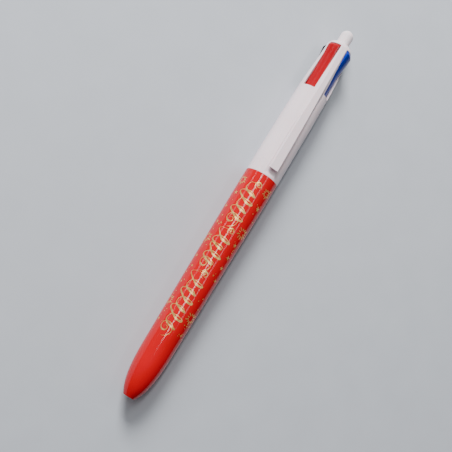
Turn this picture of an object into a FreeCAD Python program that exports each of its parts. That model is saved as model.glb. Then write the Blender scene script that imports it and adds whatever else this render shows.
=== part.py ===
"""Four-colour click pen: every separate piece as its own solid, one STEP file each, in mm.

The pen lies along X, with the writing nose at -X and the knob at +X. +Z is the side that the
clip is on. The origin is the middle of the bounding box's bottom, so the widest ring of the
barrel touches the plane Z = 0.

While it is being built, the pen's axis is the X axis and X is the "station": the distance from
the nose face. finish() moves each solid to the final frame.
"""
import FreeCAD, Part
import math
import os
from FreeCAD import Vector

# ---------------------------------------------------------------- driving dimensions (mm)
# lengths along the pen
LOWER_LENGTH = 84.0          # nose face to the joint between the two barrels
UPPER_LENGTH = 56.2          # joint to the upper barrel's end face
KNOB_LENGTH = 6.1            # end face to the knob's top
NOSE_LENGTH = 17.5           # rounded nose, nose face to the start of the taper
GRIP_LENGTH = 10.0           # true cylinder of the lower barrel, next to the joint
DOME_LENGTH = 2.2            # rounded shoulder round the knob
TRAVEL = 8.5                 # stroke of a slider
TIP_PROTRUSION = 3.0         # how far a writing tip stands out of the nose

# refill and spring sections
TUBE_R = 1.2
TUBE_WALL = 0.35
TIP_R = 1.15
BALL_R = 0.5
SPRING_WIRE = 0.3
SPRING_COILS = 12
SPRING_SPACE = 14.5          # spring length with the slider up

# walls and differences of radius
BARREL_WALL = 1.05
LOWER_TAPER = 0.58           # loss of radius from the joint to the start of the nose
UPPER_TAPER = 1.2            # loss of radius from the joint to the dome
NOSE_RIM = 0.67              # wall round the nose hole
KNOB_R = 2.35
KNOB_SEAT = 0.3              # flat ring of the end face round the knob
NECK_R = 1.5
END_WALL = 1.8

# sliders and their slots
SLIDER_WIDTH = 4.15
SLOT_LENGTH = 18.8
SLOT_TO_END = 2.0            # slot's top to the upper barrel's end face
APRON = 6.3                  # part of the slider that hides under the wall below the slot
HUMP_PROUD = 0.62            # how far the thumb hump stands out of the barrel
HUMP_BACK = 1.6              # slot's top to the crest of the hump
HUMP_DROP = 0.9              # fall from the crest to the slider's top edge
HUMP_SHOULDER = 0.6          # height of the hump's slope three quarters of the way up
FACE_LEAN = 0.15             # fall of the thumb face under the wall
COLLAR_LENGTH = 1.2
COLLAR_MARGIN = 0.05         # collar's edge inside the spring's outside
LEG_R = 1.55
LEG_OVERLAP = 1.5            # how far the leg runs into the thumb block
PEG_LENGTH = 3.5

# clip: half widths are at the outer face and at the foot of the sloping sides
CLIP_END_GAP = 2.9           # joint to the clip's free end
CLIP_END_HEIGHT = 1.4        # outer face above the barrel's radius at the free end
CLIP_END_HALF = 1.5
CLIP_THICKNESS = 0.9
CLIP_DRAFT = 0.3             # how much wider the free arm is at its underside, each side
CLIP_ROOT_TO_SLOT = 11.3
CLIP_ROOT_HALF = 1.3
CLIP_ROOT_FOOT = 2.2
CLIP_ROOT_HEIGHT = 0.3       # gap under the clip at its root
CLIP_BEND_PAST_SLOT = 5.7    # slot's bottom to the bend in the outer face
CLIP_BEND_R = 6.0            # outer face at the bend, from the pen's axis
CLIP_BEND_HALF = 0.85
CLIP_BEND_FOOT = 2.4
CLIP_TOP_HALF = 1.0
CLIP_TOP_FOOT = 1.6
RAIL_HEIGHT = 0.12           # clip's rail above the barrel at the dome
RAIL_ROOT_DEPTH = 0.5        # how deep the rail's foot lies in the wall
FLAT_DEPTH = 0.35            # flat on the barrel under the clip's arm
FLAT_TO_JOINT = 1.0

# threaded guide insert
THREAD_LENGTH = 8.0
THREAD_RELIEF = 0.5          # end of the thread's bore past the insert
THREAD_STEP = 0.35           # step from the thread's bore to the long bore
INSERT_GRIP = 8.0            # length pressed into the upper barrel
GUIDE_PLATE = 2.0
FLANGE_THICKNESS = 0.8
FLANGE_WIDTH = 0.5

# nose inside
NOSE_LAND = 0.4
NOSE_CONE_LENGTH = 7.5

# knob core
FIN_THICKNESS = 0.5
POST_R = 0.9
CORE_LIFT = 1.0              # core's lower end above the thumb block's lower end

# clearances
SPRING_CLEARANCE = 0.25      # round the spring, inside and outside
SPRING_GAP = 0.6             # between neighbouring springs
TIP_GAP = 0.15               # between an extended refill and the tips beside it
TIP_ROOM = 0.15              # round the tips at the end of the nose cone
NOSE_CLEARANCE = 0.3         # round a tip in the nose hole
SLOT_CLEARANCE = 0.15        # each side of a slider
STOP_CLEARANCE = 0.15        # slider to the slot's top
THREAD_CLEARANCE = 0.05
PRESS_GAP = 0.02             # drawn gap of a press fit
PEG_CLEARANCE = 0.12
TUBE_END_GAP = 0.05          # refill tube's top to the slider's collar
TUBE_ROOM = 0.1              # round the tubes in the threaded neck
FACE_CLEARANCE = 0.2         # thumb face under the wall below the slot
HUMP_ROOM = 0.1              # foot of the hump to the slot's bottom, slider down
INK_GAP = 0.02
GUIDE_CLEARANCE = 0.2        # round a refill tube in the guide plate
FIN_CLEARANCE = 0.28
BALL_GAP = 0.02

# refill details
TIP_CONE = 3.3
TIP_LENGTH = 7.5             # ball to the end of the tube
SHANK_LENGTH = 3.0
INK_CHANNEL_R = 0.3
BALL_OUT = 0.3               # how much of the ball stands out of its socket
TIP_LIP = 0.08               # thin lip of metal round the ball
INK_HEADROOM = 14.0          # empty tube above the ink

# fullness of the outlines: fractions of a part's length and falls of radius at inner poles
NOSE_POLE = 0.134
NOSE_POLE_RISE = 1.34
NOSE_REACH = 0.69
UPPER_POLES = ((0.90, 0.00), (0.70, 0.75))
DOME_POLE = 0.45
DOME_POLE_FALL = 0.12
DOME_CORNER = 0.95
HUMP_POLES = (0.35, 0.75)
HUMP_POLE_RISE = 0.05
CREST_POLE = (0.35, 0.12)
CAVITY_WALL = 0.9            # wall at the cavity's top, as a share of the barrel's wall

# colour of each slider and its direction round the pen, in degrees from +Z towards +Y
COLOURS = {"red": 45.0, "blue": -45.0, "black": 135.0, "green": -135.0}

# ---------------------------------------------------------------- sizes worked out from them
PEN_LENGTH = LOWER_LENGTH + UPPER_LENGTH + KNOB_LENGTH
JOINT = LOWER_LENGTH
END_FACE = JOINT + UPPER_LENGTH
DOME_START = END_FACE - DOME_LENGTH
SLOT_TOP = END_FACE - SLOT_TO_END
SLOT_BOTTOM = SLOT_TOP - SLOT_LENGTH

SPRING_INNER_R = TUBE_R + SPRING_CLEARANCE
SPRING_OUTER_R = SPRING_INNER_R + SPRING_WIRE
REFILL_OFFSET = (2 * SPRING_OUTER_R + SPRING_GAP) / math.sqrt(2)
BORE_R = REFILL_OFFSET + SPRING_OUTER_R + SPRING_CLEARANCE
BARREL_R = BORE_R + BARREL_WALL
AXIS_HEIGHT = BARREL_R

PLATE_TOP = JOINT + INSERT_GRIP
PIVOT = PLATE_TOP + SPRING_SPACE
REST_TIP = TRAVEL - TIP_PROTRUSION
TIP_OFFSET = TUBE_R + max(TUBE_R, TIP_R) + TIP_GAP
NOSE_HOLE_R = TIP_R + NOSE_CLEARANCE
NOSE_FACE_R = NOSE_HOLE_R + NOSE_RIM
NOSE_CONE_R = TIP_OFFSET + TIP_R + TIP_ROOM
REST_SLOPE = math.atan((REFILL_OFFSET - TIP_OFFSET) / (PIVOT - REST_TIP))
OUT_SLOPE = math.atan(REFILL_OFFSET / (PIVOT - TRAVEL - NOSE_LAND))
REFILL_LENGTH = math.hypot(PIVOT - REST_TIP, REFILL_OFFSET - TIP_OFFSET)

CAVITY_END = END_FACE - END_WALL
CAVITY_END_R = BARREL_R - UPPER_TAPER - CAVITY_WALL * BARREL_WALL
FACE_R = BORE_R - FACE_CLEARANCE
HUMP_FOOT = SLOT_BOTTOM + TRAVEL + HUMP_ROOM
INSERT_BORE_R = REFILL_OFFSET + TUBE_R + TUBE_ROOM
BLOCK_INNER = SLIDER_WIDTH / 2 + (FIN_THICKNESS / 2 + FIN_CLEARANCE) * math.sqrt(2)
CLIP_START = JOINT + CLIP_END_GAP
CLIP_ROOT = SLOT_BOTTOM - CLIP_ROOT_TO_SLOT
CLIP_BEND = SLOT_BOTTOM + CLIP_BEND_PAST_SLOT
FLAT_HEIGHT = BARREL_R - FLAT_DEPTH


# ---------------------------------------------------------------- small helpers
def point(station, radius):
    """A point of an outline in the XZ plane."""
    return Vector(station, 0, radius)


def line(a, b):
    """A straight edge between two outline points."""
    return Part.LineSegment(point(*a), point(*b)).toShape()


def polyline(points):
    """Straight edges through outline points, in order."""
    return [line(a, b) for a, b in zip(points, points[1:])]


def curve(*poles):
    """A Bezier edge with the given outline points as its poles."""
    bezier = Part.BezierCurve()
    bezier.setPoles([point(*pole) for pole in poles])
    return bezier.toShape()


def outline_face(edges):
    """The flat face inside a closed run of edges."""
    return Part.Face(Part.Wire(edges))


def turned(edges):
    """The solid of revolution of an outline about the pen's axis."""
    return outline_face(edges).revolve(Vector(0, 0, 0), Vector(1, 0, 0), 360)


def rod(start, end, radius, offset=0.0):
    """A cylinder along the pen, its axis at the given height above the pen's axis."""
    return Part.makeCylinder(radius, end - start, point(start, offset), Vector(1, 0, 0))


def ring(start, end, outer, inner, offset=0.0):
    """A tube along the pen."""
    return rod(start, end, outer, offset).cut(rod(start, end, inner, offset))


def block(start, end, width, low, high):
    """A box along the pen, centred on Y, between two heights."""
    return Part.makeBox(end - start, width, high - low, Vector(start, -width / 2, low))


def turn_to(shape, direction):
    """The shape turned about the pen's axis, from +Z towards +Y by a number of degrees."""
    copy = shape.copy()
    copy.rotate(Vector(0, 0, 0), Vector(1, 0, 0), -direction)
    return copy


def finish(shape, name):
    """Move a solid from stations to the final frame and write it."""
    solid = shape.Solids[0] if len(shape.Solids) == 1 else shape
    solid = solid.copy()
    solid.translate(Vector(-PEN_LENGTH / 2, 0, AXIS_HEIGHT))
    solid.exportStep(os.path.join("parts", name + ".step"))


def radius_on_curve(edge, station):
    """The radius of an outline edge at a station."""
    cutter = Part.LineSegment(point(station, 0), point(station, 2 * BARREL_R)).toShape()
    return edge.distToShape(cutter)[1][0][0].z


# ---------------------------------------------------------------- barrels
def lower_outline():
    """Outer edges of the lower barrel, from the nose face to the joint."""
    front_r = BARREL_R - LOWER_TAPER
    grip = JOINT - GRIP_LENGTH
    slope = LOWER_TAPER / (grip - NOSE_LENGTH)
    reach = NOSE_REACH * NOSE_LENGTH
    nose = curve((0, NOSE_FACE_R), (NOSE_POLE * NOSE_LENGTH, NOSE_FACE_R + NOSE_POLE_RISE),
                 (NOSE_LENGTH - reach, front_r - reach * slope), (NOSE_LENGTH, front_r))
    return [nose] + polyline([(NOSE_LENGTH, front_r), (grip, BARREL_R), (JOINT, BARREL_R)])


def lower_barrel():
    """The coloured grip: nose hole, nose cone, long bore and threaded mouth."""
    thread_r = BORE_R + THREAD_CLEARANCE
    thread_end = JOINT - THREAD_LENGTH - THREAD_RELIEF
    rear_bore = thread_r - THREAD_STEP
    inside = [(JOINT, BARREL_R), (JOINT, thread_r), (thread_end, thread_r),
              (thread_end, rear_bore), (NOSE_CONE_LENGTH, NOSE_CONE_R),
              (NOSE_LAND, NOSE_HOLE_R), (0, NOSE_HOLE_R), (0, NOSE_FACE_R)]
    return turned(lower_outline() + polyline(inside))


def upper_curve():
    """Outer edge of the upper barrel, from the joint to the dome."""
    length = DOME_START - JOINT
    inner = [(JOINT + along * length, BARREL_R - fall) for along, fall in UPPER_POLES]
    return curve((JOINT, BARREL_R), *inner, (DOME_START, BARREL_R - UPPER_TAPER))


def dome_curve():
    """Rounded shoulder from the upper barrel's side to its end face."""
    side_r = BARREL_R - UPPER_TAPER
    end_r = KNOB_R + KNOB_SEAT
    return curve((DOME_START, side_r), (DOME_START + DOME_POLE * DOME_LENGTH, side_r - DOME_POLE_FALL),
                 (END_FACE, end_r + DOME_CORNER), (END_FACE, end_r))


def upper_body():
    """The upper barrel before it is hollowed: one turned solid."""
    return turned([upper_curve(), dome_curve()] + polyline(
        [(END_FACE, KNOB_R + KNOB_SEAT), (END_FACE, 0), (JOINT, 0), (JOINT, BARREL_R)]))


def upper_cavity():
    """Everything inside the upper barrel: mouth for the flange, bore, taper and neck hole."""
    outline = [(JOINT, 0), (JOINT, BORE_R + FLANGE_WIDTH),
               (JOINT + FLANGE_THICKNESS, BORE_R + FLANGE_WIDTH),
               (JOINT + FLANGE_THICKNESS, BORE_R), (SLOT_BOTTOM, BORE_R),
               (CAVITY_END, CAVITY_END_R), (CAVITY_END, NECK_R + PRESS_GAP),
               (END_FACE, NECK_R + PRESS_GAP), (END_FACE, 0), (JOINT, 0)]
    return turned(polyline(outline))


def bar(*sections):
    """A bar with sloping sides through sections of station, top, half width, bottom and foot."""
    wires = []
    for station, top, half, bottom, foot in sections:
        corners = [Vector(station, -foot, bottom), Vector(station, foot, bottom),
                   Vector(station, half, top), Vector(station, -half, top)]
        wires.append(Part.makePolygon(corners + corners[:1]))
    return Part.makeLoft(wires, True, True)


def clip():
    """The clip's free arm, its root and the rail that runs on up to the knob."""
    end_top = BARREL_R + CLIP_END_HEIGHT
    share = (CLIP_ROOT - CLIP_START) / (CLIP_BEND - CLIP_START)
    root_top = end_top + (CLIP_BEND_R - end_top) * share
    rail_r = BARREL_R - UPPER_TAPER
    arm = bar((CLIP_START, end_top, CLIP_END_HALF, end_top - CLIP_THICKNESS,
               CLIP_END_HALF + CLIP_DRAFT),
              (CLIP_ROOT, root_top, CLIP_ROOT_HALF, FLAT_HEIGHT + CLIP_ROOT_HEIGHT,
               CLIP_ROOT_HALF + CLIP_DRAFT))
    root = bar((CLIP_ROOT, root_top, CLIP_ROOT_HALF, BORE_R, CLIP_ROOT_FOOT),
               (CLIP_BEND, CLIP_BEND_R, CLIP_BEND_HALF, CAVITY_END_R, CLIP_BEND_FOOT))
    rail = bar((CLIP_BEND, CLIP_BEND_R, CLIP_BEND_HALF, CAVITY_END_R, CLIP_BEND_FOOT),
               (DOME_START, rail_r + RAIL_HEIGHT, CLIP_TOP_HALF, rail_r - RAIL_ROOT_DEPTH,
                CLIP_TOP_FOOT))
    end = bar((DOME_START, rail_r + RAIL_HEIGHT, CLIP_TOP_HALF, CAVITY_END_R, CLIP_TOP_HALF),
              (END_FACE, KNOB_R + KNOB_SEAT + DOME_CORNER, CLIP_TOP_HALF, KNOB_R, CLIP_TOP_HALF))
    return arm.fuse([root, rail, end])


def flat():
    """The cutter of the flat on the barrel under the clip's arm."""
    return block(JOINT + FLAT_TO_JOINT, CLIP_ROOT, 2 * BARREL_R, FLAT_HEIGHT, 2 * BARREL_R)


def slot():
    """The cutter of one slider's slot, on the +Z side."""
    return block(SLOT_BOTTOM, SLOT_TOP, SLIDER_WIDTH + 2 * SLOT_CLEARANCE, POST_R, 2 * BARREL_R)


def upper_barrel():
    """The white half with its clip, in one moulding, with the four slots."""
    slots = [turn_to(slot(), direction) for direction in COLOURS.values()]
    body = upper_body().cut(flat()).fuse(clip())
    return body.cut([upper_cavity()] + slots).removeSplitter()


# ---------------------------------------------------------------- inner structure
def top_knob():
    """The knob, its neck and the finned core that keeps the sliders apart."""
    top = END_FACE + KNOB_LENGTH
    dome = top - KNOB_R
    rounding = Part.Arc(point(dome, KNOB_R),
                        point(dome + KNOB_R * math.sin(math.pi / 4), KNOB_R * math.cos(math.pi / 4)),
                        point(top, 0)).toShape()
    core = SLOT_BOTTOM - APRON + CORE_LIFT
    outline = [(top, 0), (core, 0), (core, POST_R), (CAVITY_END, POST_R), (CAVITY_END, NECK_R),
               (END_FACE, NECK_R), (END_FACE, KNOB_R), (dome, KNOB_R)]
    knob = turned([rounding] + polyline(outline))
    reach = CAVITY_END_R - FIN_CLEARANCE
    fin = block(core, CAVITY_END, FIN_THICKNESS, -reach, reach)
    return knob.fuse([fin, turn_to(fin, 90)]).removeSplitter()


def guide_centre():
    """Height of a refill's axis in the middle of the guide plate, halfway through its stroke."""
    middle = PLATE_TOP - GUIDE_PLATE / 2
    rest = REFILL_OFFSET - (PIVOT - middle) * math.tan(REST_SLOPE)
    out = REFILL_OFFSET - (PIVOT - TRAVEL - middle) * math.tan(OUT_SLOPE)
    return (rest + out) / 2, abs(rest - out) / 2


def guide_insert():
    """The connector: threaded neck below, flange, and a plate with four guide holes above."""
    start = JOINT - THREAD_LENGTH
    plate = PLATE_TOP - GUIDE_PLATE
    outer = BORE_R - PRESS_GAP
    shell = ring(start, PLATE_TOP, outer, INSERT_BORE_R)
    flange_r = BORE_R + FLANGE_WIDTH - PRESS_GAP
    flange = ring(JOINT, JOINT + FLANGE_THICKNESS, flange_r, INSERT_BORE_R)
    body = shell.fuse([flange, rod(plate, PLATE_TOP, outer)])
    centre, play = guide_centre()
    hole = rod(plate, PLATE_TOP, TUBE_R + GUIDE_CLEARANCE + play, centre)
    return body.cut([turn_to(hole, direction) for direction in COLOURS.values()]).removeSplitter()


# ---------------------------------------------------------------- sliders and springs
def hump_outline():
    """Outline of the thumb block: recessed face, hump and rounded crest."""
    start = SLOT_BOTTOM - APRON
    top = SLOT_TOP - STOP_CLEARANCE
    crest = SLOT_TOP - HUMP_BACK
    rise = crest - HUMP_FOOT
    crest_r = radius_on_curve(upper_curve(), crest) + HUMP_PROUD
    top_r = crest_r - HUMP_DROP
    face = polyline([(start, 0), (start, FACE_R - FACE_LEAN), (HUMP_FOOT, FACE_R)])
    hump = curve((HUMP_FOOT, FACE_R), (HUMP_FOOT + HUMP_POLES[0] * rise, FACE_R + HUMP_POLE_RISE),
                 (HUMP_FOOT + HUMP_POLES[1] * rise, FACE_R + HUMP_SHOULDER), (crest, crest_r))
    rounding = curve((crest, crest_r), (crest + CREST_POLE[0], crest_r + CREST_POLE[1]),
                     (top, top_r + CREST_POLE[0]), (top, top_r))
    return face + [hump, rounding] + polyline([(top, top_r), (top, 0), (start, 0)])


def slider():
    """One slider: thumb block in the slot, leg, spring collar and the peg in the refill."""
    start = SLOT_BOTTOM - APRON
    room = block(start, SLOT_TOP, SLIDER_WIDTH, BLOCK_INNER, 2 * BARREL_R)
    thumb = turned(hump_outline()).common(room)
    leg = rod(PIVOT, start + LEG_OVERLAP, LEG_R, REFILL_OFFSET)
    collar = rod(PIVOT, PIVOT + COLLAR_LENGTH, SPRING_OUTER_R - COLLAR_MARGIN, REFILL_OFFSET)
    peg_r = TUBE_R - TUBE_WALL - PEG_CLEARANCE
    peg = rod(PIVOT - PEG_LENGTH, PIVOT, peg_r, REFILL_OFFSET)
    return thumb.fuse([leg, collar, peg]).removeSplitter()


def spring():
    """One compression spring between the guide plate and the slider's collar."""
    middle_r = SPRING_INNER_R + SPRING_WIRE / 2
    height = SPRING_SPACE - SPRING_WIRE
    helix = Part.makeHelix(height / SPRING_COILS, height, middle_r)
    wire_face = Part.Wire(Part.makeCircle(SPRING_WIRE / 2, Vector(middle_r, 0, 0), Vector(0, 1, 0)))
    coil = Part.Wire(helix).makePipeShell([wire_face], True, True)
    coil.rotate(Vector(0, 0, 0), Vector(0, 1, 0), 90)
    coil.translate(point(PLATE_TOP + SPRING_WIRE / 2, REFILL_OFFSET))
    return coil


# ---------------------------------------------------------------- refill
def along_refill(shape):
    """Place a refill piece, drawn with its tube's top at station 0, under its slider."""
    placed = shape.copy()
    placed.rotate(Vector(0, 0, 0), Vector(0, 1, 0), -math.degrees(REST_SLOPE))
    placed.translate(point(PIVOT, REFILL_OFFSET))
    return placed


def refill_tube():
    """The plastic ink tube."""
    start = TIP_LENGTH - REFILL_LENGTH
    return along_refill(ring(start, -TUBE_END_GAP, TUBE_R, TUBE_R - TUBE_WALL))


def ink():
    """The column of ink that fills the tube up to its level."""
    start = TIP_LENGTH + SHANK_LENGTH - REFILL_LENGTH
    return along_refill(rod(start, -INK_HEADROOM, TUBE_R - TUBE_WALL - INK_GAP))


def writing_tip():
    """The metal point: cone, body, shank in the tube, ink channel and ball socket."""
    front = -REFILL_LENGTH
    centre = front + BALL_R
    mouth = front + BALL_OUT
    shoulder = front + TIP_LENGTH
    end = shoulder + SHANK_LENGTH
    socket_r = BALL_R + BALL_GAP
    mouth_r = math.sqrt(socket_r ** 2 - (centre - mouth) ** 2)
    seat = centre + math.sqrt(socket_r ** 2 - INK_CHANNEL_R ** 2)
    socket = Part.Arc(point(seat, INK_CHANNEL_R), point(centre, socket_r),
                      point(mouth, mouth_r)).toShape()
    shank_r = TUBE_R - TUBE_WALL - INK_GAP
    outline = [(mouth, mouth_r), (mouth, mouth_r + TIP_LIP), (front + TIP_CONE, TIP_R),
               (shoulder, TIP_R), (shoulder, shank_r), (end, shank_r), (end, INK_CHANNEL_R),
               (seat, INK_CHANNEL_R)]
    return along_refill(turned([socket] + polyline(outline)))


def writing_ball():
    """The ball that rolls in the tip."""
    return along_refill(Part.makeSphere(BALL_R, point(BALL_R - REFILL_LENGTH, 0)))


# ---------------------------------------------------------------- the whole pen
def main():
    """Build every piece and write its file."""
    os.makedirs("parts", exist_ok=True)
    finish(lower_barrel(), "lower_barrel")
    finish(upper_barrel(), "upper_barrel")
    finish(guide_insert(), "guide_insert")
    finish(top_knob(), "top_knob")
    per_colour = {"slider": slider(), "spring": spring(), "refill_tube": refill_tube(),
                  "ink": ink(), "writing_tip": writing_tip(), "writing_ball": writing_ball()}
    for colour, direction in COLOURS.items():
        for piece, shape in per_colour.items():
            finish(turn_to(shape, direction), piece + "_" + colour)
    print("refill pivot station", round(PIVOT, 3), "offset", round(REFILL_OFFSET, 4))
    print("refill turn per metre", round((OUT_SLOPE - REST_SLOPE) / TRAVEL * 1000, 4))
    print("barrel radius", round(BARREL_R, 4), "length", round(PEN_LENGTH, 3))


main()
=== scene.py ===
"""Visual model of a four-colour click pen: meshes, finishes, floor, lights and camera.

Shapes are drawn in millimetres as stations along the pen, from the nose face, with the pen's
axis at height zero, and are moved to the common frame, in metres, when they are finished.
"""
import logging
import math
import random
from dataclasses import dataclass, field
from enum import Enum

import bmesh
import bpy
from mathutils import Matrix, Vector


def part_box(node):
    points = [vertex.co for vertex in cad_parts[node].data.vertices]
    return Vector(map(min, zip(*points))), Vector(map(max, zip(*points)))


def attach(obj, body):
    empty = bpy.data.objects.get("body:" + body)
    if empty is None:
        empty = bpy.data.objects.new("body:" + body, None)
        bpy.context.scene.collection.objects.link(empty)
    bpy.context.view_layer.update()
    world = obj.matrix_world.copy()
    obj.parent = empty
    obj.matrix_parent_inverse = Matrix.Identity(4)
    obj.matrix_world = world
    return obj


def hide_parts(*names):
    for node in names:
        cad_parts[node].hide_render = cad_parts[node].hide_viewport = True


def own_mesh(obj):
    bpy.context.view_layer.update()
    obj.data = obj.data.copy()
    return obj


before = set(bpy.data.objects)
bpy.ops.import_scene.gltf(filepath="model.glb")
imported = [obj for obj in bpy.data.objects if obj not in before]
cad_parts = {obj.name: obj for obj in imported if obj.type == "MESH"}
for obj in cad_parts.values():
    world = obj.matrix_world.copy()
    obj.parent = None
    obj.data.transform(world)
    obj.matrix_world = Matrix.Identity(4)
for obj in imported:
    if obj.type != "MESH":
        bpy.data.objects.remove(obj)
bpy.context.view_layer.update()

log = logging.getLogger("pen")
MM = 0.001
Ring = list[Vector]
Outline = list[tuple[float, float]]


# ---------------------------------------------------------------- measured from the frame
def size_of(node: str) -> tuple[Vector, Vector]:
    """Lowest and highest corner of a CAD node, in millimetres."""
    low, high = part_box(node)
    return low / MM, high / MM


NOSE_X = size_of("lower_barrel")[0].x
AXIS_Z = (size_of("lower_barrel")[0].z + size_of("lower_barrel")[1].z) / 2
BARREL_R = (size_of("lower_barrel")[1].z - size_of("lower_barrel")[0].z) / 2
JOINT = size_of("lower_barrel")[1].x - NOSE_X
END_FACE = size_of("upper_barrel")[1].x - NOSE_X
PEN_END = size_of("top_knob")[1].x - NOSE_X
CORE_START = size_of("top_knob")[0].x - NOSE_X
CLIP_TOP = size_of("upper_barrel")[1].z - AXIS_Z
SLIDER_END = size_of("slider_red")[1].x - NOSE_X
PEG_START = size_of("slider_red")[0].x - NOSE_X
PLATE_TOP = size_of("guide_insert")[1].x - NOSE_X
REFILL_OFFSET = 2.8991


class Colour(Enum):
    """The four inks: name and direction round the pen, in degrees from +Z towards +Y."""

    RED = ("red", 45.0)
    BLUE = ("blue", -45.0)
    BLACK = ("black", 135.0)
    GREEN = ("green", -135.0)

    @property
    def label(self) -> str:
        """The colour's name in node names."""
        return self.value[0]

    @property
    def turn(self) -> Matrix:
        """Rotation about the pen's axis that brings the +Z side to this colour's side."""
        return Matrix.Rotation(-math.radians(self.value[1]), 4, "X")


# ---------------------------------------------------------------- shape helpers
def bezier(poles: Outline, steps: int) -> Outline:
    """Points along a cubic Bezier outline.

    Args:
        poles: The four poles, as station and radius.
        steps: How many spans to cut it into.

    Returns:
        The points, both ends included.
    """
    points = []
    for i in range(steps + 1):
        u = i / steps
        weights = ((1 - u) ** 3, 3 * u * (1 - u) ** 2, 3 * u * u * (1 - u), u ** 3)
        points.append(tuple(sum(w * p[k] for w, p in zip(weights, poles)) for k in (0, 1)))
    return points


def radius_at(outline: Outline, station: float) -> float:
    """Radius of an outline at a station, by straight lines between its points.

    Args:
        outline: Points as station and radius.
        station: Where to read it.

    Returns:
        The radius there, or the last point's past the outline's end.
    """
    for (s0, r0), (s1, r1) in zip(outline, outline[1:]):
        if s0 <= station <= s1 and s1 > s0:
            return r0 + (r1 - r0) * (station - s0) / (s1 - s0)
    return outline[-1][1]


def rounded(points: Outline, corner: int, radius: float, steps: int = 4) -> Outline:
    """An outline with one corner replaced by a small round.

    Args:
        points: The closed outline.
        corner: Index of the corner.
        radius: Distance from the corner at which the round starts and ends.
        steps: Spans of the round.

    Returns:
        The outline with the corner's points exchanged.
    """
    here = Vector(points[corner])
    before = Vector(points[corner - 1])
    after = Vector(points[(corner + 1) % len(points)])
    a = here + (before - here).normalized() * radius
    b = here + (after - here).normalized() * radius
    arc = []
    for i in range(steps + 1):
        u = i / steps
        arc.append(tuple(a * (1 - u) ** 2 + here * 2 * u * (1 - u) + b * u * u))
    return points[:corner] + arc + points[corner + 1:]


def lathe(mesh: bmesh.types.BMesh, outline: Outline, segments: int, offset: float = 0.0) -> None:
    """Turn a closed outline about an axis along the pen.

    Args:
        mesh: The mesh to add to.
        outline: Closed outline as station and radius; radius zero is on the axis.
        segments: Faces round the axis.
        offset: Height of the axis above the pen's own.
    """
    rings = []
    for station, radius in outline:
        if radius < 1e-6:
            rings.append([mesh.verts.new((station, 0, offset))])
            continue
        angles = [2 * math.pi * i / segments for i in range(segments)]
        rings.append([mesh.verts.new((station, radius * math.sin(a), offset + radius * math.cos(a)))
                      for a in angles])
    for a, b in zip(rings, rings[1:] + rings[:1]):
        for i in range(segments):
            j = (i + 1) % segments
            corners = [a[i % len(a)], a[j % len(a)], b[j % len(b)], b[i % len(b)]]
            corners = list(dict.fromkeys(corners))
            if len(corners) > 2:
                mesh.faces.new(corners)


def loft(mesh: bmesh.types.BMesh, rings: list[Ring]) -> None:
    """Join closed rings of equal length and cap both ends.

    Args:
        mesh: The mesh to add to.
        rings: The cross-sections in order.
    """
    made = [[mesh.verts.new(p) for p in ring] for ring in rings]
    for a, b in zip(made, made[1:]):
        for i in range(len(a)):
            j = (i + 1) % len(a)
            mesh.faces.new((a[i], a[j], b[j], b[i]))
    mesh.faces.new(made[0][::-1])
    mesh.faces.new(made[-1])


def object_from(mesh: bmesh.types.BMesh, name: str) -> bpy.types.Object:
    """An object that holds a finished mesh, its faces turned outwards.

    Args:
        mesh: The finished mesh, which is freed.
        name: The object's name.

    Returns:
        The object, linked to the scene.
    """
    bmesh.ops.recalc_face_normals(mesh, faces=mesh.faces[:])
    data = bpy.data.meshes.new(name)
    mesh.to_mesh(data)
    mesh.free()
    made = bpy.data.objects.new(name, data)
    bpy.context.scene.collection.objects.link(made)
    return made


def bevel(obj: bpy.types.Object, width: float, segments: int = 2, angle: float = 32.0) -> None:
    """Add a bevel on an object's sharp edges.

    Args:
        obj: The object.
        width: How far the bevel reaches from the edge.
        segments: Spans across the bevel.
        angle: Least angle between two faces, in degrees, that is bevelled.
    """
    modifier = obj.modifiers.new("edge rounding", "BEVEL")
    modifier.width = width
    modifier.segments = segments
    modifier.limit_method = "ANGLE"
    modifier.angle_limit = math.radians(angle)
    modifier.use_clamp_overlap = True


def combine(obj: bpy.types.Object, other: bpy.types.Object, operation: str) -> None:
    """Apply a boolean with another object, which is then removed.

    Args:
        obj: The object that is changed.
        other: The object that is added or cut away.
        operation: UNION or DIFFERENCE.
    """
    modifier = obj.modifiers.new(operation.lower(), "BOOLEAN")
    modifier.operation = operation
    modifier.solver = "EXACT"
    modifier.object = other
    apply_modifiers(obj)
    bpy.data.objects.remove(other)


def apply_modifiers(obj: bpy.types.Object) -> None:
    """Replace an object's mesh with the result of its modifiers.

    Args:
        obj: The object, which has no modifiers afterwards.
    """
    graph = bpy.context.evaluated_depsgraph_get()
    data = bpy.data.meshes.new_from_object(obj.evaluated_get(graph))
    obj.modifiers.clear()
    obj.data = data


def settle(obj: bpy.types.Object, turn: Matrix | None = None, sharp: float = 40.0) -> None:
    """Bake modifiers, move the mesh from stations to the frame, and smooth its shading.

    Args:
        obj: The finished piece, drawn in millimetres.
        turn: Rotation about the pen's axis.
        sharp: Edges over this angle, in degrees, stay sharp in the shading.
    """
    apply_modifiers(obj)
    place = Matrix.Scale(MM, 4) @ Matrix.Translation((NOSE_X, 0, AXIS_Z))
    obj.data.transform(place @ (turn or Matrix.Identity(4)))
    obj.data.shade_smooth()
    obj.data.set_sharp_from_angle(angle=math.radians(sharp))
    weighted = obj.modifiers.new("even shading", "WEIGHTED_NORMAL")
    weighted.keep_sharp = True
    weighted.weight = 60
    apply_modifiers(obj)


def put(obj: bpy.types.Object, body: str, node: str, finish: "Finish") -> None:
    """Tie a piece to its body, node, material slot and finish.

    Args:
        obj: The piece.
        body: The body that it moves with.
        node: The node that it stands in for.
        finish: Its finish.
    """
    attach(obj, body)
    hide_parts(node)
    dress(obj, finish)


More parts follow.
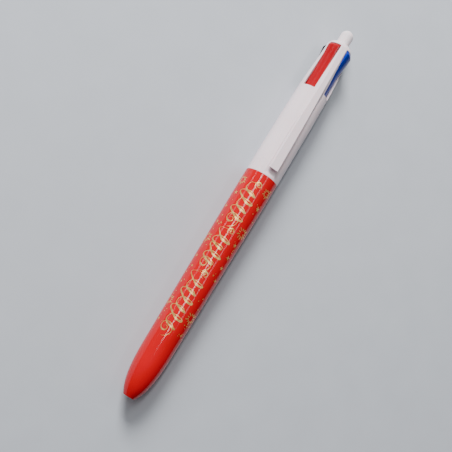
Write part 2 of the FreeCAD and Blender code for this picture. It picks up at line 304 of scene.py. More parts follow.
def dress(obj: bpy.types.Object, finish: "Finish") -> None:
    """Give a piece its material slot and its finish.

    Args:
        obj: The piece.
        finish: Its finish.
    """
    obj.data.materials.clear()
    obj.data.materials.append(finish.material())


# ---------------------------------------------------------------- finishes
NOISE_LOW = 0.3
NOISE_HIGH = 0.7
# Painted edge highlight: pointiness where it starts and is full, and how far it lifts the colour
# towards white.
EDGE_START = 0.53
EDGE_FULL = 0.62
EDGE_HIGHLIGHT_PALE = 0.45


@dataclass(frozen=True)
class Finish:
    """A moulded plastic: colour with faint clouding, uneven gloss and a fine moulded grain."""

    name: str
    colour: tuple[float, float, float]
    shade: tuple[float, float, float]
    rough: tuple[float, float] = (0.22, 0.32)
    metallic: float = 0.0
    cloud_scale: float = 90.0
    grain_scale: float = 2600.0
    grain: float = 0.05
    stretch: tuple[float, float, float] = (1.0, 1.0, 1.0)
    subsurface: float = 0.0
    transmission: float = 0.0
    specular: float = 0.5
    # Strength of the painted highlight that pales convex edges.
    edge_highlight: float = 0.0

    def material(self) -> bpy.types.Material:
        """The material, made the first time it is asked for."""
        return bpy.data.materials.get(self.name) or self.build()

    def build(self) -> bpy.types.Material:
        """Make the node tree.

        Returns:
            The new material.
        """
        made = bpy.data.materials.new(self.name)
        made.use_nodes = True
        tree = made.node_tree
        shader = tree.nodes["Principled BSDF"]
        shader.inputs["Metallic"].default_value = self.metallic
        shader.inputs["Specular IOR Level"].default_value = self.specular
        shader.inputs["Transmission Weight"].default_value = self.transmission
        shader.inputs["Subsurface Weight"].default_value = self.subsurface
        shader.inputs["Subsurface Radius"].default_value = (1.0, 0.6, 0.5)
        shader.inputs["Subsurface Scale"].default_value = 0.0008
        where = tree.nodes.new("ShaderNodeTexCoord")
        spread = tree.nodes.new("ShaderNodeMapping")
        spread.inputs["Scale"].default_value = self.stretch
        tree.links.new(where.outputs["Object"], spread.inputs["Vector"])
        cloud = self.noise(tree, spread, self.cloud_scale, 3.0)
        grain = self.noise(tree, spread, self.grain_scale, 2.0)
        tint = self.ramp(tree, cloud, self.shade, self.colour)
        tree.links.new(self.painted_edge_highlight(tree, tint), shader.inputs["Base Color"])
        gloss = tree.nodes.new("ShaderNodeMapRange")
        gloss.inputs["From Min"].default_value = NOISE_LOW
        gloss.inputs["From Max"].default_value = NOISE_HIGH
        gloss.inputs["To Min"].default_value = self.rough[0]
        gloss.inputs["To Max"].default_value = self.rough[1]
        tree.links.new(cloud.outputs["Fac"], gloss.inputs["Value"])
        tree.links.new(gloss.outputs["Result"], shader.inputs["Roughness"])
        bump = tree.nodes.new("ShaderNodeBump")
        bump.inputs["Strength"].default_value = self.grain
        bump.inputs["Distance"].default_value = 0.0001
        tree.links.new(grain.outputs["Fac"], bump.inputs["Height"])
        tree.links.new(bump.outputs["Normal"], shader.inputs["Normal"])
        return made

    def noise(self, tree: bpy.types.NodeTree, spread: bpy.types.Node, scale: float,
              detail: float) -> bpy.types.Node:
        """A noise texture in the piece's own coordinates.

        Args:
            tree: The material's node tree.
            spread: The mapping node that stretches the coordinates.
            scale: Scale of the noise.
            detail: How many finer layers it has.

        Returns:
            The noise node.
        """
        node = tree.nodes.new("ShaderNodeTexNoise")
        node.inputs["Scale"].default_value = scale
        node.inputs["Detail"].default_value = detail
        tree.links.new(spread.outputs["Vector"], node.inputs["Vector"])
        return node

    def ramp(self, tree: bpy.types.NodeTree, source: bpy.types.Node,
             low: tuple[float, float, float], high: tuple[float, float, float]) -> bpy.types.Node:
        """A colour ramp between two shades, driven by a noise.

        Args:
            tree: The material's node tree.
            source: The noise node.
            low: Colour where the noise is low.
            high: Colour where the noise is high.

        Returns:
            The ramp node.
        """
        node = tree.nodes.new("ShaderNodeValToRGB")
        node.color_ramp.elements[0].position = NOISE_LOW
        node.color_ramp.elements[1].position = NOISE_HIGH
        node.color_ramp.elements[0].color = (*low, 1)
        node.color_ramp.elements[1].color = (*high, 1)
        tree.links.new(source.outputs["Fac"], node.inputs["Fac"])
        return node

    def painted_edge_highlight(self, tree: bpy.types.NodeTree, tint: bpy.types.Node) -> bpy.types.NodeSocket:
        """The colour, paler along convex edges: a painted edge highlight.

        Args:
            tree: The material's node tree.
            tint: The colour so far.

        Returns:
            The socket that carries the final colour.
        """
        if not self.edge_highlight:
            return tint.outputs["Color"]
        # Painted highlight: convex edges, found by pointiness, are mixed towards a paler colour.
        shape = tree.nodes.new("ShaderNodeNewGeometry")
        edge = tree.nodes.new("ShaderNodeMapRange")
        edge.inputs["From Min"].default_value = EDGE_START
        edge.inputs["From Max"].default_value = EDGE_FULL
        edge.inputs["To Max"].default_value = self.edge_highlight
        mix = tree.nodes.new("ShaderNodeMix")
        mix.data_type = "RGBA"
        pale = [c + (1 - c) * EDGE_HIGHLIGHT_PALE for c in self.colour]
        mix.inputs["B"].default_value = (*pale, 1)
        tree.links.new(shape.outputs["Pointiness"], edge.inputs["Value"])
        tree.links.new(edge.outputs["Result"], mix.inputs["Factor"])
        tree.links.new(tint.outputs["Color"], mix.inputs["A"])
        return mix.outputs["Result"]


RED_SHELL = Finish("barrel red", (0.62, 0.0, 0.008), (0.56, 0.0, 0.006), (0.09, 0.14),
                   grain=0.02)
WHITE_SHELL = Finish("barrel white", (0.94, 0.79, 0.83), (0.90, 0.75, 0.79), (0.26, 0.36),
                     grain=0.05, subsurface=0.12)
KNOB_WHITE = Finish("knob white", (0.94, 0.83, 0.86), (0.90, 0.79, 0.82), (0.28, 0.38),
                    grain=0.05, subsurface=0.12)
INSERT_GREY = Finish("insert grey", (0.60, 0.60, 0.59), (0.54, 0.54, 0.53), (0.42, 0.52))
SPRING_STEEL = Finish("spring steel", (0.62, 0.62, 0.63), (0.50, 0.50, 0.52), (0.18, 0.30), 1.0,
                      grain=0.1, stretch=(1.0, 6.0, 6.0))
REFILL_PLASTIC = Finish("refill plastic", (0.84, 0.84, 0.81), (0.78, 0.78, 0.75), (0.2, 0.3),
                        transmission=0.35)
TIP_BRASS = Finish("tip brass", (0.80, 0.62, 0.32), (0.66, 0.49, 0.24), (0.16, 0.26), 1.0,
                   grain=0.1, stretch=(9.0, 1.0, 1.0))
BALL_CARBIDE = Finish("ball carbide", (0.46, 0.46, 0.48), (0.36, 0.36, 0.38), (0.08, 0.14), 1.0)
FOIL_GOLD = Finish("foil gold", (1.0, 0.70, 0.25), (0.92, 0.55, 0.13), (0.26, 0.42), 0.78,
                   cloud_scale=700.0, grain_scale=4200.0, grain=0.25)
# The sliders carry a painted highlight that pales their convex edges.
SLIDER_FINISH = {
    Colour.RED: Finish("slider red", (0.40, 0.0, 0.008), (0.35, 0.0, 0.006), (0.24, 0.34),
                       specular=0.35, edge_highlight=0.06),
    Colour.BLUE: Finish("slider blue", (0.002, 0.026, 0.36), (0.001, 0.018, 0.29), (0.24, 0.34),
                        specular=0.35, edge_highlight=0.06),
    Colour.BLACK: Finish("slider black", (0.014, 0.014, 0.016), (0.008, 0.008, 0.009),
                         (0.24, 0.34), edge_highlight=0.12),
    Colour.GREEN: Finish("slider green", (0.004, 0.19, 0.065), (0.002, 0.14, 0.045),
                         (0.24, 0.34), edge_highlight=0.25),
}
INK_FINISH = {
    Colour.RED: Finish("ink red", (0.55, 0.004, 0.01), (0.42, 0.002, 0.006), (0.1, 0.16)),
    Colour.BLUE: Finish("ink blue", (0.004, 0.02, 0.26), (0.002, 0.012, 0.18), (0.1, 0.16)),
    Colour.BLACK: Finish("ink black", (0.01, 0.01, 0.012), (0.005, 0.005, 0.006), (0.1, 0.16)),
    Colour.GREEN: Finish("ink green", (0.004, 0.16, 0.05), (0.002, 0.11, 0.03), (0.1, 0.16)),
}


# ---------------------------------------------------------------- lower barrel and its print
@dataclass
class LowerBarrel:
    """The coloured grip: rounded nose, long taper, short true cylinder and threaded mouth."""

    nose_length: float = 17.5
    grip_length: float = 10.0
    taper: float = 0.58
    nose_r: float = 2.12
    hole_r: float = 1.45
    nose_pole: tuple[float, float] = (0.134, 1.34)
    nose_reach: float = 0.69
    mouth_r: float = 4.949
    mouth_length: float = 8.5
    bore_r: float = 4.599
    cone_r: float = 3.85
    cone_length: float = 7.5
    land: float = 0.4
    rim_round: float = 0.14
    segments: int = 160

    def side(self) -> Outline:
        """Outer outline from the nose face to the joint.

        Returns:
            Points as station and radius.
        """
        front = BARREL_R - self.taper
        grip = JOINT - self.grip_length
        reach = self.nose_reach * self.nose_length
        slope = self.taper / (grip - self.nose_length)
        nose = bezier([(0, self.nose_r),
                       (self.nose_pole[0] * self.nose_length, self.nose_r + self.nose_pole[1]),
                       (self.nose_length - reach, front - reach * slope),
                       (self.nose_length, front)], 26)
        return nose + [(grip, BARREL_R), (JOINT, BARREL_R)]

    def build(self) -> bpy.types.Object:
        """Turn the barrel, with small rounds at the nose and the joint.

        Returns:
            The barrel's object.
        """
        side = self.side()
        rear = JOINT - self.mouth_length
        inside = [(JOINT, self.mouth_r), (rear, self.mouth_r), (rear, self.bore_r),
                  (self.cone_length, self.cone_r), (self.land, self.hole_r), (0, self.hole_r)]
        outline = rounded(side + inside, len(side) - 1, self.rim_round)
        outline = rounded(outline, 0, self.rim_round / 2)
        mesh = bmesh.new()
        lathe(mesh, outline, self.segments)
        made = object_from(mesh, "lower-barrel")
        settle(made, sharp=50)
        put(made, "barrel", "lower_barrel", RED_SHELL)
        return made


class Sign(Enum):
    """A small printed sign and how many rays it has."""

    STAR = 5
    SPARK = 4
    BURST = 11


@dataclass
class FoilPrint:
    """The hot-stamped print: looping flourishes, bursts, stars and dots in gold foil."""

    barrel: LowerBarrel
    direction: float = 17.5
    thickness: float = 0.02
    bury: float = 0.004
    swing: float = 2.5
    middle: float = 0.75
    stroke: tuple[float, float] = (0.12, 0.36)
    curl_stroke: tuple[float, float] = (0.10, 0.28)
    fleck_count: int = 54
    fleck_stations: tuple[float, float] = (21, 82)
    fleck_across: tuple[float, float] = (4.0, 7.2)
    fleck_sizes: tuple[float, float] = (0.12, 0.26)
    lines: tuple[tuple[float, float, int], ...] = ((24.5, 45.0, 6), (48.5, 61.5, 4), (65.5, 79.5, 4))
    signs: list[tuple[Sign, float, float, float]] = field(default_factory=lambda: [
        (Sign.BURST, 79.0, -4.9, 1.9), (Sign.STAR, 73.0, -5.0, 1.0), (Sign.BURST, 63.3, -4.7, 2.3),
        (Sign.STAR, 58.6, -4.6, 0.85), (Sign.SPARK, 54.0, -4.9, 0.95), (Sign.STAR, 50.0, -4.8, 0.8),
        (Sign.SPARK, 45.4, -5.3, 0.7), (Sign.BURST, 31.0, -4.8, 2.3), (Sign.STAR, 24.7, -4.9, 0.6),
        (Sign.BURST, 79.3, 5.9, 1.9), (Sign.STAR, 74.4, 5.4, 0.8), (Sign.SPARK, 69.0, 6.3, 0.7),
        (Sign.STAR, 63.0, 6.0, 0.6), (Sign.BURST, 56.8, 6.2, 2.1), (Sign.SPARK, 49.7, 6.0, 0.7),
        (Sign.STAR, 46.0, 5.2, 0.55), (Sign.STAR, 40.0, 5.9, 0.55), (Sign.BURST, 33.0, 6.2, 2.0),
        (Sign.SPARK, 26.0, 6.0, 0.7), (Sign.STAR, 62.9, 3.9, 0.45), (Sign.STAR, 46.6, -3.4, 0.45),
    ])

    def wrap(self, station: float, across: float, lift: float) -> Vector:
        """A point on the barrel's surface, from a station and an arc length.

        Args:
            station: Place along the pen.
            across: Arc length from the print's middle line.
            lift: Height over the surface.

        Returns:
            The point.
        """
        radius = radius_at(self.barrel.side(), station) + lift
        angle = math.radians(self.direction) + across / radius
        return Vector((station, radius * math.sin(angle), radius * math.cos(angle)))

    def ribbon(self, mesh: bmesh.types.BMesh, path: Outline, widths: list[float]) -> None:
        """A thin closed ribbon that follows a path on the barrel.

        Args:
            mesh: The mesh to add to.
            path: Points as station and arc length.
            widths: Half width at each point.
        """
        rings = []
        for i, (s, u) in enumerate(path):
            ahead = path[min(i + 1, len(path) - 1)]
            behind = path[max(i - 1, 0)]
            along = Vector((ahead[0] - behind[0], ahead[1] - behind[1])).normalized()
            side = Vector((-along.y, along.x)) * widths[i]
            left, right = (s + side.x, u + side.y), (s - side.x, u - side.y)
            rings.append([self.wrap(*left, -self.bury), self.wrap(*left, self.thickness),
                          self.wrap(s, u, self.thickness), self.wrap(*right, self.thickness),
                          self.wrap(*right, -self.bury)])
        loft(mesh, rings)

    def pen_stroke(self, path: Outline, thin: float, thick: float) -> list[float]:
        """Half widths of a broad-nib stroke: thick across the pen, thin along it.

        Args:
            path: Points as station and arc length.
            thin: Least half width.
            thick: Greatest half width.

        Returns:
            One half width per point, tapering to both ends.
        """
        widths = []
        for i in range(len(path)):
            ahead = path[min(i + 1, len(path) - 1)]
            behind = path[max(i - 1, 0)]
            step = Vector((ahead[0] - behind[0], ahead[1] - behind[1]))
            across = max(0.0, step.y / max(step.length, 1e-6))
            ends = min(1.0, 0.15 + 6 * min(i, len(path) - 1 - i) / len(path))
            widths.append((thin + (thick - thin) * across ** 1.5) * ends)
        return widths

    def flourish(self, mesh: bmesh.types.BMesh, start: float, end: float, loops: int) -> None:
        """One looping line with a wide opening curl and a trailing tail.

        Args:
            mesh: The mesh to add to.
            start: Station of its nose end.
            end: Station of its joint end.
            loops: How many loops it makes.
        """
        steps = 34 * loops
        path = []
        for i in range(steps + 1):
            u = i / steps
            turn = 2 * math.pi * (loops + 0.5) * u
            swell = self.swing * (1.0 + 0.30 * math.cos(1.5 * turn + start))
            lean = 0.22 * math.cos(turn) * self.swing
            s = start + (end - start) * u + 1.15 * math.sin(turn) + lean
            path.append((s, self.middle + swell * math.cos(turn)))
        self.ribbon(mesh, path, self.pen_stroke(path, *self.stroke))
        self.curl(mesh, start + 0.2, self.middle + 0.9, 3.0, 1.0)
        self.curl(mesh, end + 0.2, self.middle - 1.6, 1.5, -1.0)

    def curl(self, mesh: bmesh.types.BMesh, s: float, u: float, reach: float, way: float) -> None:
        """A spiral curl that opens outwards from a point.

        Args:
            mesh: The mesh to add to.
            s: Station of its eye.
            u: Arc length of its eye.
            reach: Radius of its outer turn.
            way: 1 or -1, the side it opens to.
        """
        path = []
        for i in range(41):
            v = i / 40
            turn = 0.6 + 3.3 * math.pi * v
            radius = reach * (0.12 + 0.88 * v ** 1.3)
            path.append((s + radius * math.sin(turn), u + way * radius * math.cos(turn)))
        self.ribbon(mesh, path, self.pen_stroke(path, *self.curl_stroke))

    def sign(self, mesh: bmesh.types.BMesh, kind: Sign, s: float, u: float, size: float) -> None:
        """One star, spark or burst.

        Args:
            mesh: The mesh to add to.
            kind: Which sign.
            s: Station of its middle.
            u: Arc length of its middle.
            size: Its radius.
        """
        inner = 0.42 if kind is Sign.BURST else 0.0
        broad = 0.14 if kind is Sign.BURST else 0.36 * size
        for i in range(kind.value):
            angle = 2 * math.pi * i / kind.value + 0.3
            way = Vector((math.cos(angle), math.sin(angle)))
            long = size * (1.0 if i % 2 or kind is not Sign.BURST else 0.78)
            span = [inner * size + (long - inner * size) * k / 6 for k in range(7)]
            path = [(s + way.x * d, u + way.y * d) for d in span]
            if kind is Sign.BURST:
                widths = [broad * (0.35 + 1.1 * math.sin(math.pi * (0.15 + 0.8 * k / 6)))
                          for k in range(7)]
            else:
                widths = [max(0.012, broad * (1 - k / 6)) for k in range(7)]
            self.ribbon(mesh, path, widths)

    def dot(self, mesh: bmesh.types.BMesh, s: float, u: float, size: float) -> None:
        """A round fleck of foil.

        Args:
            mesh: The mesh to add to.
            s: Station of its middle.
            u: Arc length of its middle.
            size: Its radius.
        """
        span = [math.cos(math.pi * k / 8) for k in range(9)]
        path = [(s - size * c, u) for c in span]
        self.ribbon(mesh, path, [size * math.sqrt(max(0.02, 1 - c * c)) for c in span])

    def build(self) -> list[bpy.types.Object]:
        """Print the flourishes, the signs and the flecks, as three pieces.

        Returns:
            The three objects.
        """
        lines = bmesh.new()
        for start, end, loops in self.lines:
            self.flourish(lines, start, end, loops)
        signs = bmesh.new()
        for kind, s, u, size in self.signs:
            self.sign(signs, kind, s, u, size)
        flecks = bmesh.new()
        chance = random.Random(7)
        for i in range(self.fleck_count):
            side = -1 if i % 2 else 1
            self.dot(flecks, chance.uniform(*self.fleck_stations),
                     0.4 + side * chance.uniform(*self.fleck_across),
                     chance.uniform(*self.fleck_sizes))
        made = []
        for name, mesh in (("foil-flourishes", lines), ("foil-stars", signs), ("foil-flecks", flecks)):
            piece = object_from(mesh, name)
            settle(piece, sharp=60)
            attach(piece, "barrel")
            dress(piece, FOIL_GOLD)
            made.append(piece)
        return made


# ---------------------------------------------------------------- upper barrel with its clip
@dataclass
class Section:
    """A cross-section of the clip: top, half width there, bottom and half width there."""

    station: float
    top: float
    half: float
    bottom: float
    foot: float

    def ring(self) -> Ring:
        """The four corners."""
        return [Vector((self.station, -self.foot, self.bottom)),
                Vector((self.station, self.foot, self.bottom)),
                Vector((self.station, self.half, self.top)),
                Vector((self.station, -self.half, self.top))]


@dataclass
class UpperBarrel:
    """The white half: shell with four slots, flat, and the clip moulded on it."""

    taper: float = 1.2
    dome_length: float = 2.2
    poles: tuple[tuple[float, float], ...] = ((0.90, 0.0), (0.70, 0.75))
    dome_pole: float = 0.45
    dome_fall: float = 0.12
    dome_corner: float = 0.95
    seat_r: float = 2.65
    bore_r: float = 4.899
    flange_r: float = 5.399
    flange_length: float = 0.8
    cavity_start: float = 119.4
    end_wall: float = 1.8
    cavity_end_r: float = 3.804
    neck_r: float = 1.52
    slot_width: float = 4.45
    slot_length: float = 18.8
    slot_to_end: float = 2.0
    slot_corner: float = 0.3
    slot_floor: float = 0.9
    flat_depth: float = 0.35
    flat_to_joint: float = 1.0
    clip_start: float = 86.9
    clip_root: float = 108.1
    clip_bend: float = 125.1
    bend_r: float = 6.0
    clip_thickness: float = 0.9
    clip_end_half: float = 1.5
    clip_end_foot: float = 1.8
    root_half: float = 1.3
    root_gap: float = 0.3
    root_foot: float = 1.6
    rail_root_foot: float = 1.88
    rail_proud: float = 0.12
    rail_depth: float = 0.5
    rail_half: float = 1.0
    rail_foot: float = 1.6
    bend_run: float = 1.6
    before_bend: tuple[float, float, float, float] = (6.05, 0.9, 4.62, 2.38)
    after_bend: tuple[float, float, float, float] = (5.86, 0.86, 4.5, 2.3)
    edge: float = 0.16
    mark: tuple[float, float, float] = (97.6, -0.4, 0.24)
    mark_depth: float = 0.06
    segments: int = 144

    def side(self) -> Outline:
        """Outer outline from the joint to the dome.

        Returns:
            Points as station and radius.
        """
        length = END_FACE - self.dome_length - JOINT
        inner = [(JOINT + along * length, BARREL_R - fall) for along, fall in self.poles]
        return bezier([(JOINT, BARREL_R), *inner,
                       (END_FACE - self.dome_length, BARREL_R - self.taper)], 30)

    def shell(self) -> bpy.types.Object:
        """The turned shell: side, dome, neck hole, tapering cavity and flange mouth.

        Returns:
            The shell's object.
        """
        side_r = BARREL_R - self.taper
        start = END_FACE - self.dome_length
        dome = bezier([(start, side_r), (start + self.dome_pole * self.dome_length,
                                         side_r - self.dome_fall),
                       (END_FACE, self.seat_r + self.dome_corner), (END_FACE, self.seat_r)], 10)
        cavity_end = END_FACE - self.end_wall
        inside = [(END_FACE, self.neck_r), (cavity_end, self.neck_r),
                  (cavity_end, self.cavity_end_r), (self.cavity_start, self.bore_r),
                  (JOINT + self.flange_length, self.bore_r),
                  (JOINT + self.flange_length, self.flange_r), (JOINT, self.flange_r)]
        mesh = bmesh.new()
        lathe(mesh, rounded(self.side() + dome[1:] + inside, 0, 0.12), self.segments)
        return object_from(mesh, "upper-barrel")

    def clip(self) -> bpy.types.Object:
        """The clip's arm and rail, as one lofted bar with rounded edges.

        Returns:
            The bar's object.
        """
        root_top = self.clip_top(self.clip_root)
        rail_r = BARREL_R - self.taper
        flat_z = BARREL_R - self.flat_depth
        arm = [Section(self.clip_start, CLIP_TOP, self.clip_end_half,
                       CLIP_TOP - self.clip_thickness, self.clip_end_foot),
               Section(self.clip_root, root_top, self.root_half,
                       flat_z + self.root_gap, self.root_foot)]
        rail = [Section(self.clip_root, root_top, self.root_half,
                        self.bore_r + self.rail_proud, self.rail_root_foot),
                Section(self.clip_bend - self.bend_run, *self.before_bend),
                Section(self.clip_bend + self.bend_run, *self.after_bend),
                Section(END_FACE - self.dome_length, rail_r + self.rail_proud, self.rail_half,
                        rail_r - self.rail_depth, self.rail_foot)]
        mesh = bmesh.new()
        loft(mesh, [section.ring() for section in arm])
        made = object_from(mesh, "clip arm")
        rest = bmesh.new()
        loft(rest, [section.ring() for section in rail])
        combine(made, object_from(rest, "clip rail"), "UNION")
        bevel(made, self.edge, 3, 50)
        apply_modifiers(made)
        return made

    def clip_top(self, station: float) -> float:
        """Height of the clip's top face over the axis, from its free end to the bend."""
        slope = (self.bend_r - CLIP_TOP) / (self.clip_bend - self.clip_start)
        return CLIP_TOP + slope * (station - self.clip_start)

    def slot_cutter(self, colour: Colour) -> bpy.types.Object:
        """The cutter of one slot, with small round corners in plan.

        Args:
            colour: Which slider's slot.

        Returns:
            The cutter's object.
        """
        top = END_FACE - self.slot_to_end
        half = self.slot_width / 2
        corner = self.slot_corner
        ring: Ring = []
        for cx, cy, first in ((top - corner, half - corner, 0), (top - self.slot_length + corner,
                              half - corner, 1), (top - self.slot_length + corner,
                              corner - half, 2), (top - corner, corner - half, 3)):
            for k in range(5):
                angle = math.pi / 2 * (first + k / 4)
                ring.append(Vector((cx + corner * math.cos(angle), cy + corner * math.sin(angle), 0)))
        mesh = bmesh.new()
        loft(mesh, [[p + Vector((0, 0, z)) for p in ring] for z in (self.slot_floor, 2 * BARREL_R)])
        mesh.transform(colour.turn)
        return object_from(mesh, "slot cutter")

    def mark_cutter(self) -> bpy.types.Object:
        """The cutter of the small round mark that the mould leaves on the clip's face.

        Returns:
            The cutter's object.
        """
        top = self.clip_top(self.mark[0])
        mesh = bmesh.new()
        lathe(mesh, [(-self.mark_depth, 0), (-self.mark_depth, self.mark[2]),
                     (1.0, self.mark[2]), (1.0, 0)], 20)
        mesh.transform(Matrix.Translation((self.mark[0], self.mark[1], top))
                       @ Matrix.Rotation(-math.pi / 2, 4, "Y"))
        return object_from(mesh, "mark-cutter")

    def flat_cutter(self) -> bpy.types.Object:
        """The cutter of the flat under the clip's arm.

        Returns:
            The cutter's object.
        """
        low = BARREL_R - self.flat_depth
        mesh = bmesh.new()
        loft(mesh, [[Vector((s, -6, low)), Vector((s, 6, low)), Vector((s, 6, 12)),
                     Vector((s, -6, 12))] for s in (JOINT + self.flat_to_joint, self.clip_root)])
        return object_from(mesh, "flat cutter")

    def build(self) -> bpy.types.Object:
        """Shell, flat, clip and slots, then rounded edges.

        Returns:
            The upper barrel's object.
        """
        made = self.shell()
        combine(made, self.flat_cutter(), "DIFFERENCE")
        combine(made, self.clip(), "UNION")
        combine(made, self.mark_cutter(), "DIFFERENCE")
        for colour in Colour:
            combine(made, self.slot_cutter(colour), "DIFFERENCE")
        bevel(made, 0.1, 2, 38)
        settle(made, sharp=35)
        put(made, "barrel", "upper_barrel", WHITE_SHELL)
        return made


# ---------------------------------------------------------------- knob, sliders, springs
@dataclass
class TopKnob:
    """The knob with its neck and the finned core between the sliders."""

    radius: float = 2.35
    neck_r: float = 1.5
    post_r: float = 0.9
    fin: float = 0.5
    fin_reach: float = 3.52
    end_wall: float = 1.8

    def build(self) -> bpy.types.Object:
        """Turn the knob and post, and add the crossed fins.

        Returns:
            The knob's object.
        """
        dome = PEN_END - self.radius
        cap = [(dome + self.radius * math.sin(a), self.radius * math.cos(a))
               for a in (math.pi / 2 * k / 14 for k in range(14))]
        cavity_end = END_FACE - self.end_wall
        outline = [(PEN_END, 0), (CORE_START, 0), (CORE_START, self.post_r),
                   (cavity_end, self.post_r), (cavity_end, self.neck_r),
                   (END_FACE, self.neck_r), (END_FACE, self.radius)]
        outline = rounded(outline, 6, 0.2) + cap
        mesh = bmesh.new()
        lathe(mesh, outline, 72)
        for turn in (0, 1):
            fin = bmesh.new()
            half = self.fin / 2
            ring = [(-self.fin_reach, -half), (self.fin_reach, -half), (self.fin_reach, half),
                    (-self.fin_reach, half)]
            loft(fin, [[Vector((s, z, y)) if turn else Vector((s, y, z)) for z, y in ring]
                       for s in (CORE_START, cavity_end)])
            data = bpy.data.meshes.new("fin")
            fin.to_mesh(data)
            fin.free()
            mesh.from_mesh(data)
            bpy.data.meshes.remove(data)
        made = object_from(mesh, "top-knob")
        bevel(made, 0.05, 2, 60)
        settle(made, sharp=35)
        put(made, "barrel", "top_knob", KNOB_WHITE)
        return made


@dataclass
class Slider:
    """One thumb slider: recessed face, hump, leg, spring collar and peg."""

    colour: Colour
    upper: UpperBarrel
    width: float = 4.15
    floor: float = 2.83
    apron: float = 6.3
    stroke: float = 8.6
    face_r: float = 4.699
    face_dip: float = 0.06
    apron_dip: float = 0.15
    hump_back: float = 1.6
    hump_proud: float = 0.62
    crest_drop: float = 0.9
    offset: float = REFILL_OFFSET
    leg_inset: float = 1.5
    leg_r: float = 1.55
    collar_r: float = 1.70
    collar_length: float = 1.2
    peg_r: float = 0.73
    peg_length: float = 3.5

    def top_line(self) -> Outline:
        """Outline of the thumb block's top, from its lower end to its top edge.

        Returns:
            Points as station and radius.
        """
        slot_top = END_FACE - self.upper.slot_to_end
        slot_bottom = slot_top - self.upper.slot_length
        foot = slot_bottom + self.stroke
        crest = slot_top - self.hump_back
        rise = crest - foot
        crest_r = radius_at(self.upper.side(), crest) + self.hump_proud
        top_r = crest_r - self.crest_drop
        face = [(slot_bottom - self.apron, self.face_r - self.apron_dip),
                (slot_bottom, self.face_r - self.face_dip)]
        hump = bezier([(foot, self.face_r), (foot + 0.35 * rise, self.face_r + 0.05),
                       (foot + 0.75 * rise, self.face_r + 0.6), (crest, crest_r)], 18)
        crown = bezier([(crest, crest_r), (crest + 0.35, crest_r + 0.12),
                        (SLIDER_END, top_r + 0.35), (SLIDER_END, top_r)], 8)
        return face + hump + crown[1:]

    def block(self) -> bpy.types.Object:
        """The thumb block, lofted along the pen with a cylindrical top.

        Returns:
            The block's object.
        """
        half = self.width / 2
        rings = []
        for s, r in self.top_line():
            crown = [half * (1 - 2 * k / 10) for k in range(11)]
            rings.append([Vector((s, -half, self.floor)), Vector((s, half, self.floor))]
                         + [Vector((s, y, math.sqrt(r * r - y * y))) for y in crown])
        mesh = bmesh.new()
        loft(mesh, rings)
        made = object_from(mesh, "slider-" + self.colour.label)
        bevel(made, 0.2, 3, 50)
        apply_modifiers(made)
        return made

    def build(self) -> bpy.types.Object:
        """The block with its leg, collar and peg.

        Returns:
            The slider's object.
        """
        made = self.block()
        pivot = PEG_START + self.peg_length
        start = END_FACE - self.upper.slot_to_end - self.upper.slot_length - self.apron
        outline = [(start + self.leg_inset, 0), (PEG_START, 0), (PEG_START, self.peg_r),
                   (pivot, self.peg_r), (pivot, self.collar_r),
                   (pivot + self.collar_length, self.collar_r),
                   (pivot + self.collar_length, self.leg_r), (start + self.leg_inset, self.leg_r)]
        mesh = bmesh.new()
        for corner in (7, 5, 4, 2):
            outline = rounded(outline, corner, 0.12, 2)
        lathe(mesh, outline, 40, self.offset)
        combine(made, object_from(mesh, "leg"), "UNION")
        settle(made, self.colour.turn, sharp=38)
        name = "slider_" + self.colour.label
        put(made, name, name, SLIDER_FINISH[self.colour])
        return made


@dataclass
class Spring:
    """A compression spring with closed end coils, round one refill."""

    colour: Colour
    radius: float = 1.60
    wire: float = 0.145
    coils: float = 12.0
    length: float = 14.5
    stroke: float = 8.5
    offset: float = REFILL_OFFSET
    closed: float = 0.10
    closed_rise: float = 0.08
    steps: int = 26

    def centre(self, turns: float) -> Vector:
        """A point of the wire's centreline: pitch is small in the first and last turns.

        Args:
            turns: Turns of wire from the plate.

        Returns:
            The point.
        """
        clear = self.length - 2 * self.wire
        u = turns / self.coils
        lift = max(0.0, min(1.0, (u - self.closed) / (1 - 2 * self.closed)))
        first = min(1.0, u / self.closed)
        last = max(0.0, (u - 1 + self.closed) / self.closed)
        share = self.closed_rise * (first + last) + (1 - 2 * self.closed_rise) * lift
        angle = 2 * math.pi * turns
        return Vector((PLATE_TOP + self.wire + clear * share, self.radius * math.sin(angle),
                       self.offset + self.radius * math.cos(angle)))

    def build(self) -> bpy.types.Object:
        """Sweep the wire along its centreline.

        Returns:
            The spring's object.
        """
        count = int(self.coils * self.steps)
        rings = []
        for i in range(count + 1):
            here = self.centre(i / self.steps)
            out = Vector((0, here.y, here.z - self.offset)).normalized()
            rings.append([here + self.wire * (out * math.cos(a) + Vector((1, 0, 0)) * math.sin(a))
                          for a in (2 * math.pi * k / 8 for k in range(8))])
        mesh = bmesh.new()
        loft(mesh, rings)
        name = "spring_" + self.colour.label
        made = object_from(mesh, name.replace("_", "-"))
        settle(made, self.colour.turn, sharp=60)
        put(made, "barrel", name, SPRING_STEEL)
        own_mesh(made)
        return made


@dataclass
class Inside:
    """The CAD nodes that are shown as they are: guide insert and refills."""

    def dress(self) -> None:
        """Give each carried-over node its procedural finish."""
        nodes = {"guide_insert": ("insert_grey", INSERT_GREY)}
        for colour in Colour:
            nodes["refill_tube_" + colour.label] = ("refill_plastic", REFILL_PLASTIC)
            nodes["ink_" + colour.label] = ("ink_" + colour.label, INK_FINISH[colour])
            nodes["writing_tip_" + colour.label] = ("tip_brass", TIP_BRASS)
            nodes["writing_ball_" + colour.label] = ("ball_carbide", BALL_CARBIDE)
        for name, (slot, finish) in nodes.items():
            dress(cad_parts[name], finish)


# ---------------------------------------------------------------- floor, lights, camera
@dataclass(frozen=True)
class Lamp:
    """A rectangular light: angle round the pen, place along it, size, power, and its gloss."""

    name: str
    angle: float
    along: float
    width: float
    length: float
    power: float
    glossy: bool = True


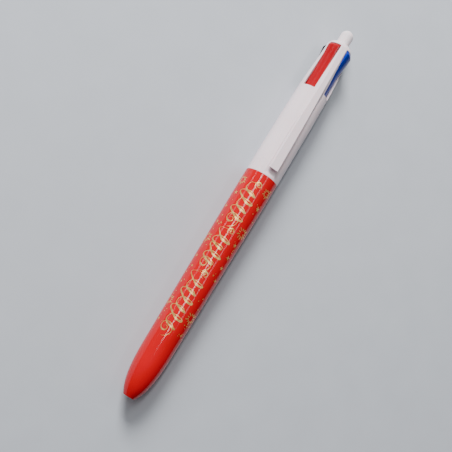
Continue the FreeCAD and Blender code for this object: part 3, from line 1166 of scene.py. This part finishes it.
@dataclass
class Studio:
    """Pale floor, soft lights over the pen, and the camera above it."""

    side: float = 15.8
    tilt: float = 10.75
    roll: float = 31.30
    distance: float = 251.57
    aim: tuple[float, float] = (-9.71, 1.86)
    lens: float = 60.2
    height: float = 0.7
    lights: tuple[Lamp, ...] = (
        Lamp("overhead-strip", 4.6, 0.25, 0.07, 0.60, 2.0),
        Lamp("left-strip", 47.0, 0.25, 0.05, 0.55, 0.5),
        Lamp("right-strip", -33.0, 0.25, 0.05, 0.55, 0.45),
        Lamp("soft-key", 27.0, 0.60, 0.30, 0.30, 15.0, False),
    )

    def floor(self) -> None:
        """A large pale floor with a faint paper tooth."""
        mesh = bmesh.new()
        bmesh.ops.create_grid(mesh, x_segments=8, y_segments=8, size=4.0)
        made = object_from(mesh, "floor")
        paper = Finish("floor paper", (0.56, 0.59, 0.64), (0.54, 0.57, 0.62), (0.7, 0.85),
                       grain=0.05, grain_scale=1800.0)
        made.data.materials.append(paper.material())

    def light(self) -> None:
        """Area lights at angles round the pen, measured from the camera's side."""
        for lamp in self.lights:
            data = bpy.data.lights.new(lamp.name, "AREA")
            data.shape = "RECTANGLE"
            data.size = lamp.length
            data.size_y = lamp.width
            data.energy = lamp.power
            made = bpy.data.objects.new(lamp.name, data)
            turn = math.radians(self.side + lamp.angle)
            away = Vector((0, math.sin(turn), math.cos(turn))) * self.height
            place = Vector((lamp.along, 0, AXIS_Z * MM)) + away
            out = (place - Vector((0, 0, AXIS_Z * MM))).normalized()
            if lamp.glossy:
                out = away.normalized()
            across = Vector((0, 1, 0)).cross(out).normalized()
            made.matrix_world = Matrix.Translation(place) @ Matrix(
                (across, out.cross(across), out)).transposed().to_4x4()
            made.visible_glossy = lamp.glossy
            bpy.context.scene.collection.objects.link(made)
        world = bpy.data.worlds.new("studio")
        world.use_nodes = True
        world.node_tree.nodes["Background"].inputs["Color"].default_value = (0.95, 0.96, 1.0, 1)
        world.node_tree.nodes["Background"].inputs["Strength"].default_value = 0.08
        bpy.context.scene.world = world

    def camera(self) -> None:
        """The camera above the pen, a little to the red slider's side."""
        side, tilt, roll = (math.radians(a) for a in (self.side, self.tilt, self.roll))
        back = Vector((-math.sin(tilt), math.cos(tilt) * math.sin(side),
                       math.cos(tilt) * math.cos(side)))
        right = (-back).cross(Vector((1, 0, 0))).normalized()
        up = right.cross(-back)
        image_right = right * math.cos(roll) + up * math.sin(roll)
        image_up = up * math.cos(roll) - right * math.sin(roll)
        target = Vector((self.aim[0], self.aim[1], AXIS_Z))
        data = bpy.data.cameras.new("camera")
        data.lens = self.lens
        data.sensor_width = 36.0
        data.clip_start = 0.01
        made = bpy.data.objects.new("camera", data)
        turn = Matrix((image_right, image_up, back)).transposed().to_4x4()
        made.matrix_world = Matrix.Translation((target + back * self.distance) * MM) @ turn
        bpy.context.scene.collection.objects.link(made)
        bpy.context.scene.camera = made


def main() -> None:
    """Build every piece in order, then the studio."""
    logging.basicConfig(level=logging.INFO, format="%(message)s")
    lower = LowerBarrel()
    upper = UpperBarrel()
    made = [lower.build(), upper.build(), TopKnob().build()]
    made += FoilPrint(lower).build()
    for colour in Colour:
        made.append(Slider(colour, upper).build())
        made.append(Spring(colour).build())
    Inside().dress()
    for piece in made:
        log.info("%s: %d faces", piece.name, len(piece.data.polygons))
    studio = Studio()
    studio.floor()
    studio.light()
    studio.camera()


if __name__ == "__main__":
    main()
